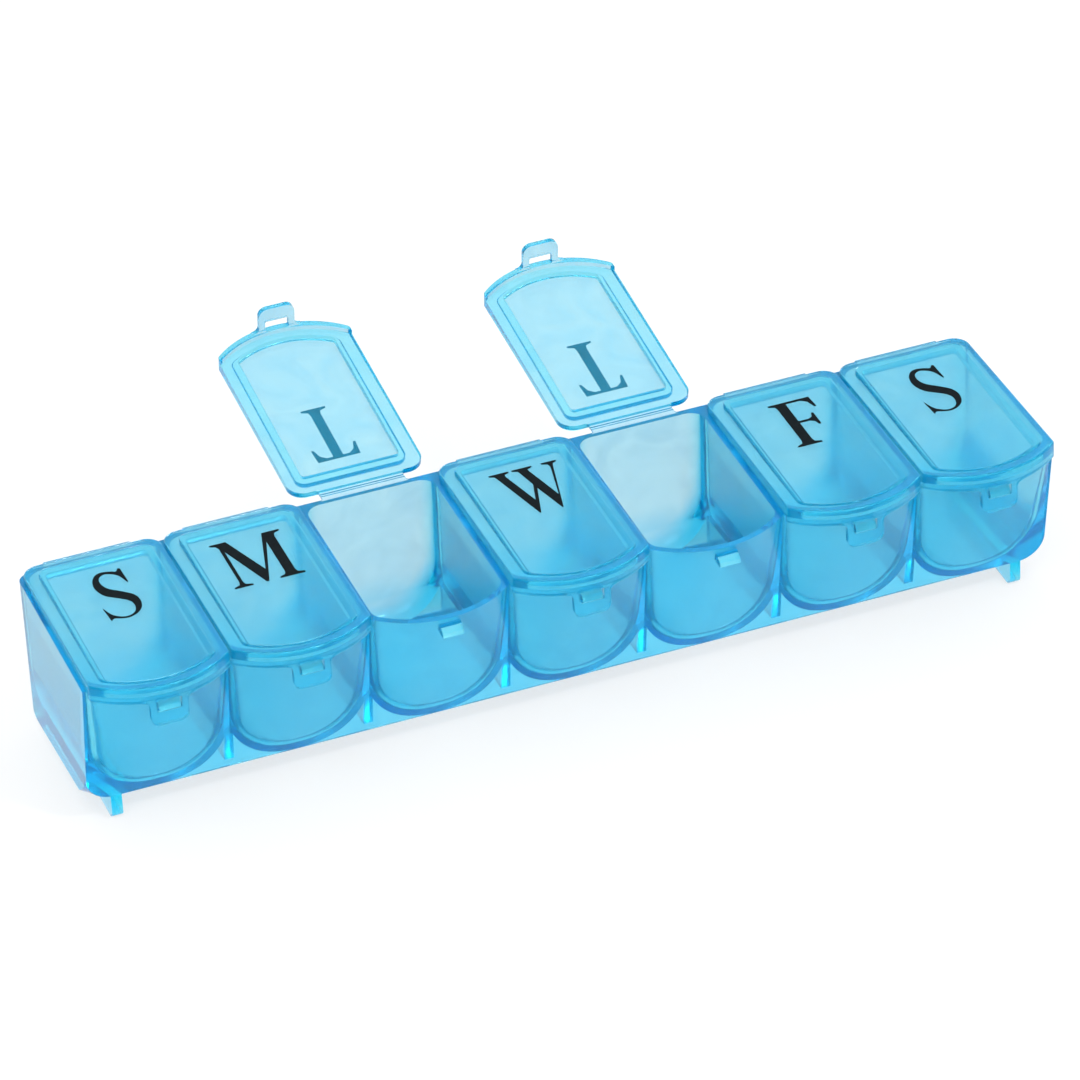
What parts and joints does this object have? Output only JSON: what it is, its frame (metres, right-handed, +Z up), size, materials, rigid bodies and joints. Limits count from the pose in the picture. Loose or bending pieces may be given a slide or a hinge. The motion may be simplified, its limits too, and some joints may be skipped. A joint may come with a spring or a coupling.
{
  "type": "weekly pill organizer",
  "caption": "Clear blue pill organizer for a week: a row of U-bottomed compartments with a scalloped front and a snap lid for each day on a living hinge.",
  "frame": {"origin": "on the table, midway along the row and midway between the front of the shut lids and the tips of the open ones", "axes": "+X along the row from Sunday to Saturday, -Y to the latch side, +Z up"},
  "size_m": [0.197, 0.1018, 0.0475],
  "materials": {
    "tray_plastic": "clear blue, glossy, moulded",
    "lid_plastic": "clear blue, glossy, moulded",
    "hinge_plastic": "clear blue, thin"
  },
  "bodies": {
    "tray": {"tray": "tray_plastic", "hinge_sunday": "hinge_plastic", "hinge_monday": "hinge_plastic", "hinge_tuesday": "hinge_plastic", "hinge_wednesday": "hinge_plastic", "hinge_thursday": "hinge_plastic", "hinge_friday": "hinge_plastic", "hinge_saturday": "hinge_plastic"},
    "sunday_lid": {"lid_sunday": "lid_plastic"},
    "monday_lid": {"lid_monday": "lid_plastic"},
    "tuesday_lid": {"lid_tuesday": "lid_plastic"},
    "wednesday_lid": {"lid_wednesday": "lid_plastic"},
    "thursday_lid": {"lid_thursday": "lid_plastic"},
    "friday_lid": {"lid_friday": "lid_plastic"},
    "saturday_lid": {"lid_saturday": "lid_plastic"}
  },
  "joints": [
    {"name": "sunday_hinge", "type": "hinge", "parent": "tray", "child": "sunday_lid", "pos_m": [-0.084, 0.00008, 0.0345], "axis": [-1, 0, 0], "range_deg": [0, 180], "deforming": ["hinge_sunday"]},
    {"name": "monday_hinge", "type": "hinge", "parent": "tray", "child": "monday_lid", "pos_m": [-0.056, 0.00008, 0.0345], "axis": [-1, 0, 0], "range_deg": [0, 180], "deforming": ["hinge_monday"]},
    {"name": "tuesday_hinge", "type": "hinge", "parent": "tray", "child": "tuesday_lid", "pos_m": [-0.028, 0.00008, 0.0345], "axis": [-1, 0, 0], "range_deg": [-172.5, 7.5], "deforming": ["hinge_tuesday"]},
    {"name": "wednesday_hinge", "type": "hinge", "parent": "tray", "child": "wednesday_lid", "pos_m": [0, 0.00008, 0.0345], "axis": [-1, 0, 0], "range_deg": [0, 180], "deforming": ["hinge_wednesday"]},
    {"name": "thursday_hinge", "type": "hinge", "parent": "tray", "child": "thursday_lid", "pos_m": [0.028, 0.00008, 0.0345], "axis": [-1, 0, 0], "range_deg": [-172.5, 7.5], "deforming": ["hinge_thursday"]},
    {"name": "friday_hinge", "type": "hinge", "parent": "tray", "child": "friday_lid", "pos_m": [0.056, 0.00008, 0.0345], "axis": [-1, 0, 0], "range_deg": [0, 180], "deforming": ["hinge_friday"]},
    {"name": "saturday_hinge", "type": "hinge", "parent": "tray", "child": "saturday_lid", "pos_m": [0.084, 0.00008, 0.0345], "axis": [-1, 0, 0], "range_deg": [0, 180], "deforming": ["hinge_saturday"]}
  ]
}
